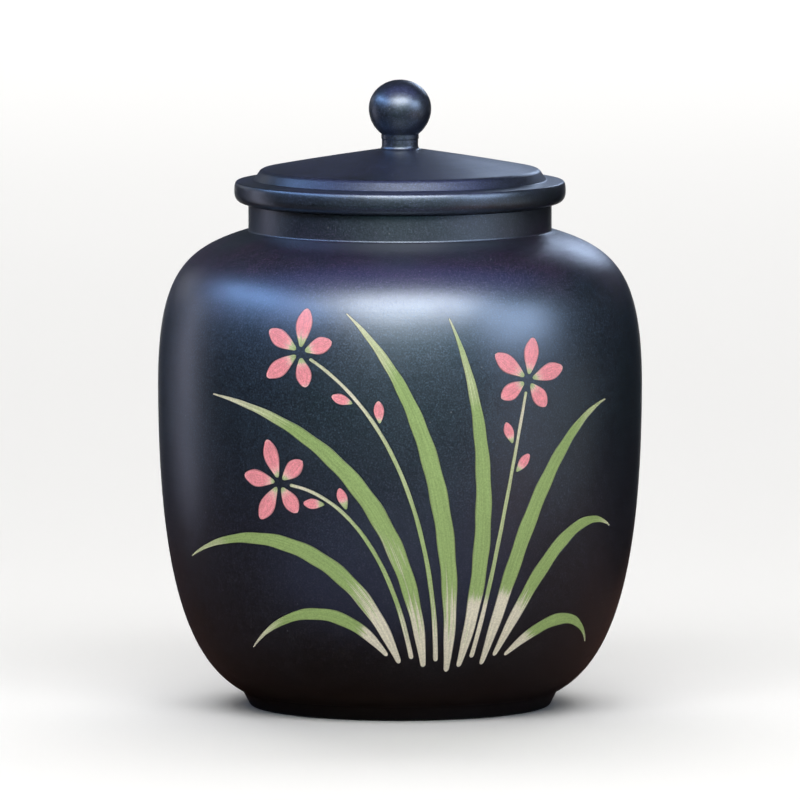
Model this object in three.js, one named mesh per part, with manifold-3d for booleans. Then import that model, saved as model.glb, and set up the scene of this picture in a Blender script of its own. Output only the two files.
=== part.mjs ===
// A lidded tea canister, thrown and burnished in black clay. A spray of leaves and blossoms in
// coloured clays is set flush into pockets cut in the front of its wall.
// Millimetres, +Z up. The origin is the centre of the foot ring's face, and the front looks along -Y.
import * as THREE from "three";
import { mergeVertices } from "three/addons/utils/BufferGeometryUtils.js";
import Module from "manifold-3d";

// Jar: foot, belly, shoulder and neck
const FOOT_DIAMETER = 124;
const FOOT_HEIGHT = 6; // up to the crease under the belly
const FOOT_BEVEL = 0.8;
const FOOT_RING_WIDTH = 9;
const FOOT_RECESS = 2.4; // hollow turned under the base, inside the ring
const CREASE_DIAMETER = 130.4;
const CREASE_PITCH = 27.5; // degrees above level at which the belly leaves the crease
const BELLY_DIAMETER = 200;
const BELLY_HEIGHT = 133.5; // level of the widest ring
const SHOULDER_HEIGHT = 196.8; // level at which the neck leaves the shoulder
const SHOULDER_PITCH = 16.4; // degrees that the shoulder still climbs there
const NECK_DIAMETER = 125.2;
const NECK_HEIGHT = 11.4;
const NECK_FILLET = 0.8;
const RIM_ROUND = 1;
const WALL = 6;
const NECK_WALL = 7;
const FLOOR = 7;
const FLOOR_COVE = 5; // run of the slope between floor and wall

// How squarely the wall's two curves are drawn, from 0 for slack to 1 for a full corner
const BELLY_FULLNESS = 0.684;
const HEEL_FULLNESS = 0.65;
const SHOULDER_FULLNESS = 0.745;
const NECK_FULLNESS = 0.7;

// Lid: plug, flange, ledge, bead and dome
const PLUG_CLEARANCE = 1; // all round, between the plug and the neck's bore
const PLUG_DEPTH = 12;
const PLUG_WALL = 5;
const PLUG_LEAD = 1.5; // bevel that guides the plug into the bore
const FLANGE_OVERHANG = 5.8; // past the outside of the neck
const FLANGE_THICKNESS = 8.8;
const FLANGE_LOWER_ROUND = 4.6;
const FLANGE_UPPER_ROUND = 1.3;
const FLANGE_UPPER_DROP = 3.6; // how far down the flange's edge its upper round reaches
const LEDGE_WIDTH = 7.9; // flange's edge to the foot of the bead
const LEDGE_RISE = 0.5;
const BEAD_HEIGHT = 4.4;
const BEAD_RUN = 3; // how far the bead leans in over its height
const BEAD_ROUND = 1.4;
const DOME_RISE = 8.3;
const DOME_BOW = 0.4; // how far the dome's middle control point stands above a plain cone
const LID_WALL = 6.5;

// Knob: flared stem under a ball that is fuller below its widest ring than above it
const KNOB_DIAMETER = 25.8;
const KNOB_CROWN = 11.8; // widest ring to the top
const KNOB_UNDER = 13.2; // half height of the ellipse below the widest ring
const STEM_DIAMETER = 15;
const STEM_FLARE = 1.8;
const STEM_HEIGHT = 6.4; // seat to the underside of the ball
const COLLAR_STEP = 0.25;
const COLLAR_HEIGHT = 2.4; // below the ball

// Inlay: strokes of coloured clay in pockets
const INLAY_DEPTH = 1.2;
const INLAY_JOINT = 0.3; // gap at the sides, ends and floor of each pocket
const POCKET_REACH = 2; // how far a pocket's cutter stands out of the wall
const LEAF_STEPS = 11;
const STEM_STEPS = 9;
const PETAL_STEPS = 5;

// Fineness of the turned faces
const JAR_SEGMENTS = 56;
const KNOB_SEGMENTS = 32;

const wasm = await Module();
wasm.setup();

const at = (radius, height) => new THREE.Vector2(radius, height);
const rad = THREE.MathUtils.degToRad;

// The point at a distance and pitch, in degrees above level, outwards from another.
function polar(from, distance, pitch) {
  return at(from.x + distance * Math.cos(rad(pitch)), from.y + distance * Math.sin(rad(pitch)));
}

// Points of a rounded corner between two points on its sides.
function rounded(from, corner, to, steps) {
  return new THREE.QuadraticBezierCurve(from, corner, to).getPoints(steps);
}

// Triangles of a closed geometry with shared vertices, less those that collapse on the axis.
function closed(geometry) {
  geometry.deleteAttribute("normal");
  geometry.deleteAttribute("uv");
  const merged = mergeVertices(geometry, 1e-3);
  const kept = [];
  const index = merged.index.array;
  for (let i = 0; i < index.length; i += 3) {
    const [a, b, c] = index.slice(i, i + 3);
    if (a !== b && b !== c && c !== a) kept.push(a, b, c);
  }
  merged.setIndex(kept);
  return merged;
}

// A profile of (radius, height) points from axis to axis, turned about Z.
function turned(profile, segments) {
  return closed(new THREE.LatheGeometry(profile, segments).rotateX(Math.PI / 2));
}

function toSolid(geometry) {
  const vertProperties = new Float32Array(geometry.attributes.position.array);
  const triVerts = new Uint32Array(geometry.index.array);
  return new wasm.Manifold(new wasm.Mesh({ numProp: 3, vertProperties, triVerts }));
}

function toGeometry(solid) {
  const { vertProperties, triVerts } = solid.getMesh();
  return new THREE.BufferGeometry()
    .setAttribute("position", new THREE.BufferAttribute(vertProperties, 3))
    .setIndex(new THREE.BufferAttribute(triVerts, 1));
}

// The wall's outer face: crease to widest ring, then widest ring to neck.
const crease = at(CREASE_DIAMETER / 2, FOOT_HEIGHT);
const widest = at(BELLY_DIAMETER / 2, BELLY_HEIGHT);
const neckFoot = at(NECK_DIAMETER / 2, SHOULDER_HEIGHT);
const heelDraw = HEEL_FULLNESS * (widest.x - crease.x);
const neckDraw = NECK_FULLNESS * (widest.x - neckFoot.x);
const belly = new THREE.CubicBezierCurve(
  crease,
  polar(crease, heelDraw, CREASE_PITCH),
  at(widest.x, widest.y - BELLY_FULLNESS * (widest.y - crease.y)),
  widest,
);
const shoulder = new THREE.CubicBezierCurve(
  widest,
  at(widest.x, widest.y + SHOULDER_FULLNESS * (neckFoot.y - widest.y)),
  polar(neckFoot, neckDraw, -SHOULDER_PITCH),
  neckFoot,
);
const wall = new THREE.CurvePath();
wall.add(belly);
wall.add(shoulder);
const wallLength = wall.getLength();

// A point of the wall's section moved out along its normal, or in where lift is negative.
function wallSection(up, lift) {
  const point = wall.getPoint(up);
  const along = wall.getTangent(up);
  return at(point.x + lift * along.y, point.y - lift * along.x);
}

const rim = SHOULDER_HEIGHT + NECK_HEIGHT;
const bore = NECK_DIAMETER / 2 - NECK_WALL;

function jarProfile() {
  const outside = NECK_DIAMETER / 2;
  const foot = FOOT_DIAMETER / 2;
  const recess = foot - FOOT_RING_WIDTH;
  const floor = FOOT_RECESS + FLOOR;
  const bellySteps = 9;
  const shoulderSteps = 9;
  const innerSteps = 9;
  const outer = [...belly.getPoints(bellySteps), ...shoulder.getPoints(shoulderSteps).slice(1, -1)];
  const inner = [];
  for (let i = innerSteps; i >= 0; i--) inner.push(wallSection(i / innerSteps, -WALL));
  const underNeck = at(bore, inner[0].y + (inner[0].x - bore) * Math.tan(rad(SHOULDER_PITCH)));
  const climb = NECK_FILLET * Math.tan(rad(SHOULDER_PITCH));
  return [
    at(0, FOOT_RECESS),
    at(recess - FOOT_RECESS, FOOT_RECESS),
    at(recess, 0),
    at(foot - FOOT_BEVEL, 0),
    at(foot, FOOT_BEVEL),
    ...outer,
    ...rounded(
      at(outside + NECK_FILLET, SHOULDER_HEIGHT - climb),
      neckFoot,
      at(outside, SHOULDER_HEIGHT + NECK_FILLET),
      2,
    ),
    ...rounded(at(outside, rim - RIM_ROUND), at(outside, rim), at(outside - RIM_ROUND, rim), 2),
    ...rounded(at(bore + RIM_ROUND, rim), at(bore, rim), at(bore, rim - RIM_ROUND), 2),
    underNeck,
    ...inner.filter((point) => point.y > floor),
    at(inner.at(-1).x - FLOOR_COVE, floor),
    at(0, floor),
  ];
}

// Levels of the lid, from the rim that its flange rests on up to the knob's seat
const ledgeFoot = rim + FLANGE_THICKNESS;
const beadFoot = ledgeFoot + LEDGE_RISE;
const beadTop = beadFoot + BEAD_HEIGHT;
const knobSeat = beadTop + DOME_RISE;
const seatRadius = STEM_DIAMETER / 2 + STEM_FLARE;

function lidProfile() {
  const plug = bore - PLUG_CLEARANCE;
  const hollow = plug - PLUG_WALL;
  const tip = rim - PLUG_DEPTH;
  const flange = NECK_DIAMETER / 2 + FLANGE_OVERHANG;
  const bead = flange - LEDGE_WIDTH;
  const domeFoot = at(bead - BEAD_RUN, beadTop);
  const domeMiddle = at((domeFoot.x + seatRadius) / 2, (beadTop + knobSeat) / 2 + DOME_BOW);
  const dome = new THREE.QuadraticBezierCurve(domeFoot, domeMiddle, at(seatRadius, knobSeat));
  const lean = at(BEAD_RUN, -BEAD_HEIGHT).setLength(BEAD_ROUND);
  const inward = at(-BEAD_ROUND, 0);
  const domeSteps = 5;
  const domePoints = dome.getPoints(domeSteps).slice(1);
  const ceiling = domePoints
    .filter((point) => point.x < hollow - LID_WALL)
    .map((point) => at(point.x, point.y - LID_WALL))
    .reverse();
  return [
    at(0, knobSeat - LID_WALL),
    ...ceiling,
    at(hollow, rim),
    at(hollow, tip),
    at(plug - PLUG_LEAD, tip),
    at(plug, tip + PLUG_LEAD),
    at(plug, rim),
    ...rounded(
      at(flange - FLANGE_LOWER_ROUND, rim),
      at(flange, rim),
      at(flange, rim + FLANGE_LOWER_ROUND),
      4,
    ),
    ...rounded(
      at(flange, ledgeFoot - FLANGE_UPPER_DROP),
      at(flange, ledgeFoot),
      at(flange - FLANGE_UPPER_ROUND, ledgeFoot),
      3,
    ),
    at(bead, beadFoot),
    ...rounded(domeFoot.clone().add(lean), domeFoot, domeFoot.clone().add(inward), 2),
    ...domePoints,
    at(0, knobSeat),
  ];
}

function knobProfile() {
  const stem = STEM_DIAMETER / 2;
  const collar = stem + COLLAR_STEP;
  const ball = KNOB_DIAMETER / 2;
  const neck = knobSeat + STEM_HEIGHT;
  const start = Math.asin(collar / ball);
  const equator = neck + KNOB_UNDER * Math.cos(start);
  const lower = [];
  const upper = [];
  const steps = 6;
  for (let i = 0; i <= steps; i++) {
    const low = start + ((Math.PI / 2 - start) * i) / steps;
    const high = (Math.PI / 2) * (1 - i / steps);
    lower.push(at(ball * Math.sin(low), equator - KNOB_UNDER * Math.cos(low)));
    upper.push(at(ball * Math.sin(high), equator + KNOB_CROWN * Math.cos(high)));
  }
  return [
    at(0, knobSeat),
    ...rounded(at(seatRadius, knobSeat), at(stem, knobSeat), at(stem, knobSeat + STEM_FLARE), 3),
    at(stem, neck - COLLAR_HEIGHT),
    at(collar, neck - COLLAR_HEIGHT + COLLAR_STEP),
    ...lower,
    ...upper.slice(1),
  ];
}

// A place on the unrolled wall is in millimetres: across from the front's middle line, measured round
// the widest ring, and up along the wall from the crease. Lift moves it out along the wall's normal.
function onWall(place, lift) {
  const point = wallSection(place.y / wallLength, lift);
  const turn = place.x / widest.x;
  return [point.x * Math.sin(turn), -point.x * Math.cos(turn), point.y];
}

// How far the wall is drawn in at a height, as a share of its widest ring.
function drawnIn(up) {
  return wall.getPoint(up / wallLength).x / widest.x;
}

// Moves a place by millimetres across and up, measured where it lies.
function shifted(place, across, up) {
  return at(place.x + across / drawnIn(place.y), place.y + up);
}

// The way that a spine on the unrolled wall runs, as a unit vector measured where it lies.
function wayAlong(spine, share) {
  const way = spine.getTangent(share);
  return at(way.x * drawnIn(spine.getPoint(share).y), way.y).normalize();
}

// A closed bar along a spine on the unrolled wall, with four corners at each step. It runs from
// below the wall's face to above it, and grow widens and lengthens it on all sides.
function bar({ spine, widthAt, steps }, grow, below, above) {
  const corners = [];
  for (let i = 0; i <= steps; i++) {
    const share = i / steps;
    const way = wayAlong(spine, share);
    const stretch = i === 0 ? -grow : i === steps ? grow : 0;
    const half = widthAt(share) / 2 + grow;
    const middle = shifted(spine.getPoint(share), way.x * stretch, way.y * stretch);
    const left = shifted(middle, -way.y * half, way.x * half);
    const right = shifted(middle, way.y * half, -way.x * half);
    corners.push(...onWall(left, above), ...onWall(right, above));
    corners.push(...onWall(right, -below), ...onWall(left, -below));
  }
  const last = 4 * steps;
  const index = [0, 2, 1, 0, 3, 2, last, last + 1, last + 2, last, last + 2, last + 3];
  for (let i = 0; i < steps; i++) {
    for (let side = 0; side < 4; side++) {
      const a = 4 * i + side;
      const b = 4 * i + ((side + 1) % 4);
      index.push(a, b + 4, a + 4, a, b, b + 4);
    }
  }
  return new THREE.BufferGeometry()
    .setAttribute("position", new THREE.Float32BufferAttribute(corners, 3))
    .setIndex(index);
}

// Widths along a stroke. A leaf or petal swells as part of a half wave, from its start to its end,
// with the skew setting which half is fuller: a leaf's nearer its root, a petal's nearer its tip.
const LEAF_SWELL = { start: 0.03, end: 0.97, skew: 0.7 };
const PETAL_SWELL = { start: 0.1, end: 0.94, skew: 1.25 };
const STEM_TAPER = 0.4; // share of its width that a stem loses by its tip
function swelling(most, { start, end, skew }) {
  return (share) => most * Math.sin(Math.PI * (start + (end - start) * share) ** skew);
}
function tapering(most) {
  return (share) => most * (1 - STEM_TAPER * share);
}

// The spray springs from one row of roots, listed from left to right. Rise is how far a root stands
// above the row, and bend and tip are the places of a curve's middle control point and of its end.
const CLUMP = at(23, 31);
const ROOT_SPACING = 5;
const ROOT_SAG = 7; // how far the middle roots lie below the outer ones
const SPRAY = [
  { kind: "leaf", rise: 1, bend: at(-33, 68), tip: at(-77, 33), width: 5.5 },
  { kind: "leaf", rise: 0, bend: at(-30, 105), tip: at(-110, 70), width: 7 },
  { kind: "stem", rise: 4, bend: at(-9, 99), tip: at(-47, 104), width: 2 },
  { kind: "leaf", rise: 1.5, bend: at(-2, 131), tip: at(-87, 139), width: 7.5 },
  { kind: "stem", rise: 5, bend: at(10, 129), tip: at(-38, 156), width: 2 },
  { kind: "leaf", rise: 0, bend: at(23, 136), tip: at(-23, 175), width: 7.5 },
  { kind: "leaf", rise: 2, bend: at(45, 114), tip: at(21, 173), width: 7 },
  { kind: "stem", rise: 5.5, bend: at(45, 99), tip: at(54, 142), width: 2 },
  { kind: "leaf", rise: 0.5, bend: at(58, 127), tip: at(100, 136), width: 7 },
  { kind: "leaf", rise: 2.5, bend: at(73, 101), tip: at(108, 83), width: 6.5 },
  { kind: "leaf", rise: 0, bend: at(82, 59), tip: at(108, 33), width: 5.5 },
];

// A blossom opens past the tip of each stem: five petals by their turn from the stem's way.
const BLOSSOM_GAP = 5; // stem's tip to the middle of the blossom
const PETAL_GAP = 2.3; // middle of the blossom to the start of a petal
const PETAL_WIDTH = 7;
const PETALS = [
  { turn: 0, length: 15 },
  { turn: 65, length: 16 },
  { turn: 131, length: 12 },
  { turn: -131, length: 12 },
  { turn: -65, length: 16 },
];

// Two buds stand off each stem, one on each side.
const BUD_GAP = 1.4; // stem's edge to the foot of a bud
const BUD_TURN = 30; // degrees from the stem's way
const BUD_LENGTH = 9;
const BUD_WIDTH = 4.4;
const BUDS = [
  { share: 0.66, side: 1 },
  { share: 0.77, side: -1 },
];

// A straight stroke from a point of the unrolled wall, turned clockwise from a given way.
function petal(name, from, way, turn, start, length, width) {
  const heading = way.clone().rotateAround(at(0, 0), -rad(turn));
  const foot = shifted(from, start * heading.x, start * heading.y);
  const tip = shifted(foot, length * heading.x, length * heading.y);
  const spine = new THREE.LineCurve(foot, tip);
  return { name, kind: "petal", spine, widthAt: swelling(width, PETAL_SWELL), steps: PETAL_STEPS };
}

function blossom(stem, number) {
  const way = wayAlong(stem.spine, 1);
  const middle = shifted(stem.spine.getPoint(1), BLOSSOM_GAP * way.x, BLOSSOM_GAP * way.y);
  return PETALS.map(({ turn, length }, place) =>
    petal(`petal_inlay_${number}_${place + 1}`, middle, way, turn, PETAL_GAP, length, PETAL_WIDTH),
  );
}

function buds(stem, number) {
  return BUDS.map(({ share, side }, place) => {
    const way = wayAlong(stem.spine, share);
    const off = side * (stem.widthAt(share) / 2 + BUD_GAP);
    const foot = shifted(stem.spine.getPoint(share), way.y * off, -way.x * off);
    return petal(`bud_inlay_${number}_${place + 1}`, foot, way, side * BUD_TURN, 0, BUD_LENGTH, BUD_WIDTH);
  });
}

function drawnStrokes() {
  const strokes = [];
  const counts = { leaf: 0, stem: 0 };
  SPRAY.forEach(({ kind, rise, bend, tip, width }, place) => {
    const fromMiddle = (2 * place) / (SPRAY.length - 1) - 1;
    const across = (fromMiddle * ROOT_SPACING * (SPRAY.length - 1)) / 2;
    const root = shifted(CLUMP, across, rise + ROOT_SAG * (fromMiddle ** 2 - 1));
    counts[kind] += 1;
    strokes.push({
      name: `${kind}_inlay_${counts[kind]}`,
      kind,
      spine: new THREE.QuadraticBezierCurve(root, bend, tip),
      widthAt: kind === "leaf" ? swelling(width, LEAF_SWELL) : tapering(width),
      steps: kind === "leaf" ? LEAF_STEPS : STEM_STEPS,
    });
  });
  const stems = strokes.filter(({ kind }) => kind === "stem");
  const flowers = stems.flatMap((stem, place) => [...blossom(stem, place + 1), ...buds(stem, place + 1)]);
  return [...strokes, ...flowers];
}

const clay = (color) => new THREE.MeshStandardMaterial({ color, roughness: 0.4, metalness: 0 });
const blackClay = clay(0x23262e);
const inlayClays = { leaf: clay(0x9db072), stem: clay(0xc3c79c), petal: clay(0xe89a9c) };

function named(name, geometry, material) {
  geometry.computeVertexNormals();
  const mesh = new THREE.Mesh(geometry, material);
  mesh.name = name;
  return mesh;
}

const canister = new THREE.Group();
const strokes = drawnStrokes();

let jar = toSolid(turned(jarProfile(), JAR_SEGMENTS));
for (const stroke of strokes) {
  jar = jar.subtract(toSolid(bar(stroke, INLAY_JOINT, INLAY_DEPTH + INLAY_JOINT, POCKET_REACH)));
}
canister.add(named("jar_body", toGeometry(jar), blackClay));

for (const stroke of strokes) {
  canister.add(named(stroke.name, bar(stroke, 0, INLAY_DEPTH, 0), inlayClays[stroke.kind]));
}

const lid = new THREE.Group();
lid.add(named("lid", turned(lidProfile(), JAR_SEGMENTS), blackClay));
lid.add(named("lid_knob", turned(knobProfile(), KNOB_SEGMENTS), blackClay));
canister.add(lid);

export default canister;
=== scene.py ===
# %% [markdown]
# # A black tea canister with an inlaid spray
# The canister is thrown in dark clay, burnished with a smooth stone until it shines like satin,
# and fired without a glaze. Strokes of coloured clay are pressed into pockets cut in its wall and
# rubbed flush with it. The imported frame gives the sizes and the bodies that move. This lesson
# makes the fine surface round it, in metres, with +Z up and the front looking along -Y.

# %% Load the frame
import math

import bpy
import numpy as np
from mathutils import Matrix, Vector


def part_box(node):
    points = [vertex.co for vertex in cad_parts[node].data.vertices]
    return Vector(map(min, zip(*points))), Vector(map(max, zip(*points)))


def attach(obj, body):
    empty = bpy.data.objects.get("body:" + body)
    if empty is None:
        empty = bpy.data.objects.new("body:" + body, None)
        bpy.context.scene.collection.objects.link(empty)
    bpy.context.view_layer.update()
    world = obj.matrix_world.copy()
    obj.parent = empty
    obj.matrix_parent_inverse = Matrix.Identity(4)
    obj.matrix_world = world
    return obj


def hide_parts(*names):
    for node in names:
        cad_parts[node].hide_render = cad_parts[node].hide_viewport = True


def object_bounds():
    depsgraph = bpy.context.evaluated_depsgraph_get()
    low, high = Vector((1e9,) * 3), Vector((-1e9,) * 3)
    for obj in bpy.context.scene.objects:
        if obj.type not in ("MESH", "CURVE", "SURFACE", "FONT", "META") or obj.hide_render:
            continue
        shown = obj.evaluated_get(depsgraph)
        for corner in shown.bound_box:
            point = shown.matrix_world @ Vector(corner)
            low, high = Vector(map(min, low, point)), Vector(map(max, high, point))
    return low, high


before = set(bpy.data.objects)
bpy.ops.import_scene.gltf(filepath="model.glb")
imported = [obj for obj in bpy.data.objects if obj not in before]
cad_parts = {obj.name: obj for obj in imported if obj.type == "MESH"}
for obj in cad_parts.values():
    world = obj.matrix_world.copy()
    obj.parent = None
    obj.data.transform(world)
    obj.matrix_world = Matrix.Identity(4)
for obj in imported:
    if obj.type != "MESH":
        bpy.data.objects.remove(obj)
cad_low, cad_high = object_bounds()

print("frame loaded:", len(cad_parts), "nodes, box", [round(x, 4) for x in cad_high - cad_low])

# %% [markdown]
# ## The wheel
# Jar, lid and knob are round because they were thrown and trimmed on a wheel. A lathe could be a
# Screw modifier on a curve, but here each half section is drawn as a potter's rib would be: one
# vertex, extruded from point to point, and then spun about Z. The points come from straight runs,
# eased corners and Bezier curves, so a section stays short to write and smooth to look at.

# %% Points of a section
EASE_STEPS = 8


def curve(controls, steps):
    """Points of a Bezier curve from its first control to its last, as (radius, height) pairs."""
    points = []
    degree = len(controls) - 1
    for i in range(steps + 1):
        t = i / steps
        weights = [math.comb(degree, k) * t**k * (1 - t) ** (degree - k) for k in range(degree + 1)]
        points.append(
            tuple(sum(w * c[axis] for w, c in zip(weights, controls)) for axis in (0, 1))
        )
    return points


def towards(start, end, distance):
    """The point at a distance from start on the way to end."""
    way = (Vector(end) - Vector(start)).normalized()
    return tuple(Vector(start) + distance * way)


def eased(before, corner, after, reach, steps=EASE_STEPS, reach_after=None):
    """A corner rounded off over a reach along both sides, or over another one along the second."""
    last = towards(corner, after, reach_after or reach)
    return curve([towards(corner, before, reach), corner, last], steps)


print("an eased corner has", len(eased((0, 0), (1, 0), (1, 1), 0.1)), "points")

# %% Pick, name and finish a piece
def pick(*pieces):
    """Selects only the given pieces, and makes the first one active."""
    bpy.ops.object.select_all(action="DESELECT")
    for piece in pieces:
        piece.select_set(True)
    bpy.context.view_layer.objects.active = pieces[0]


def begin(name):
    """Gives its name to the piece that an operator just made."""
    piece = bpy.context.object
    piece.name = name
    piece.data.name = name
    return piece


def finish_with(piece, kind, **settings):
    """Adds a modifier to a piece, sets it and applies it."""
    pick(piece)
    bpy.ops.object.modifier_add(type=kind)
    modifier = piece.modifiers[-1]
    for setting, value in settings.items():
        setattr(modifier, setting, value)
    bpy.ops.object.modifier_apply(modifier=modifier.name)


# %% Spin a section
START_SIZE = 0.01
MERGE_REACH = 2e-6


def throw(name, section, turns):
    """Draws a half section of (radius, height) points and spins it into a closed piece."""
    bpy.ops.object.select_all(action="DESELECT")
    bpy.ops.mesh.primitive_plane_add(size=START_SIZE)
    piece = begin(name)
    bpy.ops.object.mode_set(mode="EDIT")
    bpy.ops.mesh.select_all(action="SELECT")
    bpy.ops.mesh.merge(type="CENTER")
    bpy.ops.transform.translate(value=(section[0][0], 0, section[0][1]))
    for here, there in zip(section, section[1:]):
        step = (there[0] - here[0], 0, there[1] - here[1])
        bpy.ops.mesh.extrude_region_move(TRANSFORM_OT_translate={"value": step})
    bpy.ops.mesh.select_all(action="SELECT")
    bpy.ops.mesh.spin(steps=turns, angle=2 * math.pi, center=(0, 0, 0), axis=(0, 0, 1))
    bpy.ops.mesh.select_all(action="SELECT")
    bpy.ops.mesh.remove_doubles(threshold=MERGE_REACH)
    bpy.ops.mesh.normals_make_consistent(inside=False)
    bpy.ops.object.mode_set(mode="OBJECT")
    bpy.ops.object.shade_smooth()
    finish_with(piece, "WEIGHTED_NORMAL", mode="FACE_AREA", keep_sharp=False)
    print(name, "thrown:", len(section), "points,", len(piece.data.polygons), "faces")
    return piece


# %% [markdown]
# ## The jar
# The wall is two curves: from the crease above the foot to the widest ring, and on to the neck.
# The second curve turns quickly, which gives the jar its square shoulder and draws a bright band
# there under a soft light. The wall is kept as a table of points by length, because the inlay is
# laid out along it later. Every corner is eased, because clay has no sharp edges.

# %% Sizes of the jar
jar_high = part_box("jar_body")[1]
lid_low, lid_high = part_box("lid")
knob_low, knob_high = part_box("lid_knob")

WIDEST = (jar_high.x, 0.1335)
RIM = jar_high.z
CREASE = (0.0652, 0.006)
CREASE_PITCH = math.radians(27.5)
HEEL_DRAW = 0.02262
BELLY_DRAW = 0.08721
NECK_FOOT = (0.0626, 0.1968)
SHOULDER_PITCH = math.radians(16.4)
SHOULDER_DRAW = 0.04716
NECK_DRAW = 0.02618
WALL = 0.006
NECK_WALL = 0.007
FOOT = 0.062
RING = 0.053
RECESS = 0.0024
FLOOR = 0.0094
COVE = 0.005

heel = (
    CREASE[0] + HEEL_DRAW * math.cos(CREASE_PITCH),
    CREASE[1] + HEEL_DRAW * math.sin(CREASE_PITCH),
)
nape = (
    NECK_FOOT[0] + NECK_DRAW * math.cos(SHOULDER_PITCH),
    NECK_FOOT[1] - NECK_DRAW * math.sin(SHOULDER_PITCH),
)
BELLY = [CREASE, heel, (WIDEST[0], WIDEST[1] - BELLY_DRAW), WIDEST]
SHOULDER = [WIDEST, (WIDEST[0], WIDEST[1] + SHOULDER_DRAW), nape, NECK_FOOT]
print("widest", round(2 * WIDEST[0], 4), "rim", round(RIM, 4))

# %% The wall as a table by length
TABLE_STEPS = 1500
wall_points = np.array(curve(BELLY, TABLE_STEPS) + curve(SHOULDER, TABLE_STEPS)[1:])
wall_steps = np.hypot(*np.diff(wall_points, axis=0).T)
wall_up = np.concatenate([[0], np.cumsum(wall_steps)])
wall_way = np.gradient(wall_points, axis=0)
wall_way /= np.linalg.norm(wall_way, axis=1)[:, None]


def wall_at(up, lift=0.0):
    """Radius and height of the wall at a length up from the crease, moved out along its normal."""
    radius, height = (np.interp(up, wall_up, wall_points[:, axis]) for axis in (0, 1))
    way_out, way_up = (np.interp(up, wall_up, wall_way[:, axis]) for axis in (0, 1))
    return radius + lift * way_up, height - lift * way_out


wall_length = wall_up[-1]
print("wall length", round(wall_length, 4))

# %% Throw the jar
JAR_TURNS = 240
BELLY_STEPS = 44
SHOULDER_STEPS = 40
INNER_STEPS = 36
RECESS_EASE = 0.001
RING_EASE = 0.0006
FOOT_EASE = 0.0009
CREASE_EASE = 0.0005
NECK_EASE = 0.0008
RIM_EASE = 0.001
UNDER_NECK_EASE = 0.0025
COVE_TOP_EASE = 0.002
COVE_FOOT_EASE = 0.003

bore = NECK_FOOT[0] - NECK_WALL
inside = [wall_at(wall_length * (1 - i / INNER_STEPS), -WALL) for i in range(INNER_STEPS + 1)]
under_neck = (bore, inside[0][1] + (inside[0][0] - bore) * math.tan(SHOULDER_PITCH))
cove_foot = (inside[-1][0] - COVE, FLOOR)
recess_edge, ring_edge, foot_edge = (RING - RECESS, RECESS), (RING, 0), (FOOT, 0)
rim_outside, rim_inside = (NECK_FOOT[0], RIM), (bore, RIM)
jar_section = [
    (0, RECESS),
    *eased((0, RECESS), recess_edge, ring_edge, RECESS_EASE),
    *eased(recess_edge, ring_edge, foot_edge, RING_EASE),
    *eased(ring_edge, foot_edge, CREASE, FOOT_EASE),
    *eased(foot_edge, CREASE, heel, CREASE_EASE),
    *curve(BELLY, BELLY_STEPS)[1:],
    *curve(SHOULDER, SHOULDER_STEPS)[1:-1],
    *eased(nape, NECK_FOOT, rim_outside, NECK_EASE),
    *eased(NECK_FOOT, rim_outside, rim_inside, RIM_EASE),
    *eased(rim_outside, rim_inside, (bore, 0), RIM_EASE),
    *eased(rim_inside, under_neck, inside[0], UNDER_NECK_EASE),
    *inside[1:-1],
    *eased(inside[-2], inside[-1], cove_foot, COVE_TOP_EASE),
    *eased(inside[-1], cove_foot, (0, FLOOR), COVE_FOOT_EASE),
    (0, FLOOR),
]
jar = throw("jar", jar_section, JAR_TURNS)

# %% [markdown]
# ## The lid
# The lid is one thrown piece too: a plug ring that drops into the neck, a flange that rests on
# the rim, a ledge, a leaning bead and a low dome. It could be three rings joined, but one section
# keeps the clay in one skin. Its edges are eased by a millimetre or so, as a wet sponge leaves
# them, and each eased edge catches a thin line of light.

# %% Sizes of the lid
PLUG = bore - 0.001
PLUG_WALL = 0.005
PLUG_LEAD = 0.0015
LID_WALL = 0.0065
FLANGE = lid_high.x
FLANGE_TOP = RIM + 0.0088
BEAD = FLANGE - 0.0079
BEAD_FOOT = FLANGE_TOP + 0.0005
BEAD_LEAN = 0.003
BEAD_HEIGHT = 0.0044
DOME_FOOT = (BEAD - BEAD_LEAN, BEAD_FOOT + BEAD_HEIGHT)
DOME_BOW = 0.0004
DOME_STEPS = 24
SEAT = 0.0093
SEAT_HEIGHT = knob_low.z

hollow = PLUG - PLUG_WALL
tip = lid_low.z
dome_middle = ((DOME_FOOT[0] + SEAT) / 2, (DOME_FOOT[1] + SEAT_HEIGHT) / 2 + DOME_BOW)
dome = curve([DOME_FOOT, dome_middle, (SEAT, SEAT_HEIGHT)], DOME_STEPS)
ceiling = [(radius, height - LID_WALL) for radius, height in dome if radius < hollow - LID_WALL]
print("flange", round(2 * FLANGE, 4), "dome rises", round(SEAT_HEIGHT - DOME_FOOT[1], 4))

# %% Throw the lid
LID_TURNS = 200
HOLLOW_EASE = 0.003
TIP_EASE = 0.001
LEAD_EASE = 0.0008
PLUG_EASE = 0.0004
FLANGE_UNDER_EASE = 0.0046
FLANGE_UNDER_STEPS = 14
FLANGE_OVER_EASE = 0.0036
FLANGE_OVER_STEPS = 12
LEDGE_EASE = 0.0013
BEAD_EASE = 0.0005
DOME_EASE = 0.0014
DOME_EASE_STEPS = 10

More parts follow.
